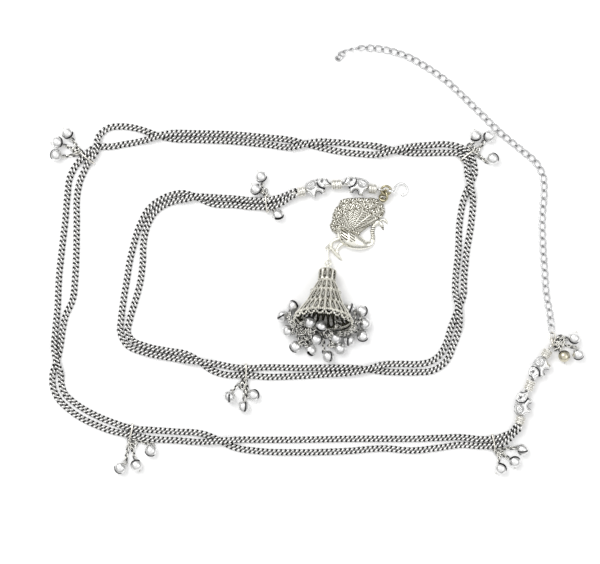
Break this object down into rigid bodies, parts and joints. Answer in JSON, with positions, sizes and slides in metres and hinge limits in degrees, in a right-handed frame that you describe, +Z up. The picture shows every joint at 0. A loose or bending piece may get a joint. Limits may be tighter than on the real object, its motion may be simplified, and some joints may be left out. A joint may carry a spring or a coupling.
{
  "type": "waist chain",
  "caption": "Waist chain of twin curb chains with animal beads, small bells in groups, a fish hook, a flat bird pendant with a pierced bell drop, and an open-link adjusting chain.",
  "frame": {"origin": "centre of the bounding box in plan, on the flat surface that the piece lies on", "axes": "+X along the longest side of the laid-out rectangle, +Y across it towards the free end of the adjusting chain, +Z up from the surface"},
  "size_m": [0.2562, 0.206, 0.0275],
  "materials": {
    "chain_metal": "bright links with dark gaps",
    "ring_metal": "worn, brass tinted",
    "elephant_metal": "polished relief, dark in the recesses",
    "bead_metal": "slightly warm, dark between the ribs",
    "bell_metal": "polished",
    "dark_bell_metal": "tarnished",
    "hook_metal": "pale and bright",
    "antique_metal": "warm antique, darkened recesses"
  },
  "bodies": {
    "root": {"chain_1": "chain_metal", "chain_2": "chain_metal", "single_chain": "chain_metal", "first_wire": "ring_metal", "first_elephant_1": "elephant_metal", "first_end_bead_1": "bead_metal", "first_elephant_2": "elephant_metal", "first_end_bead_2": "bead_metal", "first_middle_bead": "bead_metal", "second_wire": "ring_metal", "second_elephant_1": "elephant_metal", "second_end_bead_1": "bead_metal", "second_elephant_2": "elephant_metal", "second_end_bead_2": "bead_metal", "second_middle_bead": "bead_metal", "bell_group_1_ring": "ring_metal", "bell_group_1_bell_1": "bell_metal", "bell_group_1_bell_2": "bell_metal", "bell_group_1_bell_3": "bell_metal", "bell_group_2_ring": "ring_metal", "bell_group_2_bell_1": "bell_metal", "bell_group_2_bell_2": "bell_metal", "bell_group_2_bell_3": "bell_metal", "bell_group_3_ring": "ring_metal", "bell_group_3_bell_1": "bell_metal", "bell_group_3_bell_2": "bell_metal", "bell_group_3_bell_3": "bell_metal", "bell_group_4_ring": "ring_metal", "bell_group_4_bell_1": "bell_metal", "bell_group_4_bell_2": "bell_metal", "bell_group_4_bell_3": "bell_metal", "bell_group_5_ring": "ring_metal", "bell_group_5_bell_1": "bell_metal", "bell_group_5_bell_2": "bell_metal", "bell_group_5_bell_3": "bell_metal", "bell_group_6_ring": "ring_metal", "bell_group_6_bell_1": "bell_metal", "bell_group_6_bell_2": "bell_metal", "bell_group_6_bell_3": "bell_metal", "joint_bell_1": "bell_metal", "joint_bell_2": "bell_metal", "joint_bell_3": "dark_bell_metal", "joint_ring": "ring_metal", "knot_ring": "ring_metal", "peacock_ring": "ring_metal", "hook": "hook_metal", "peacock": "antique_metal", "pendant_link": "antique_metal", "pendant_ring": "antique_metal", "bell_drop": "antique_metal", "bell_drop_fringe": "bell_metal"}
  },
  "joints": []
}
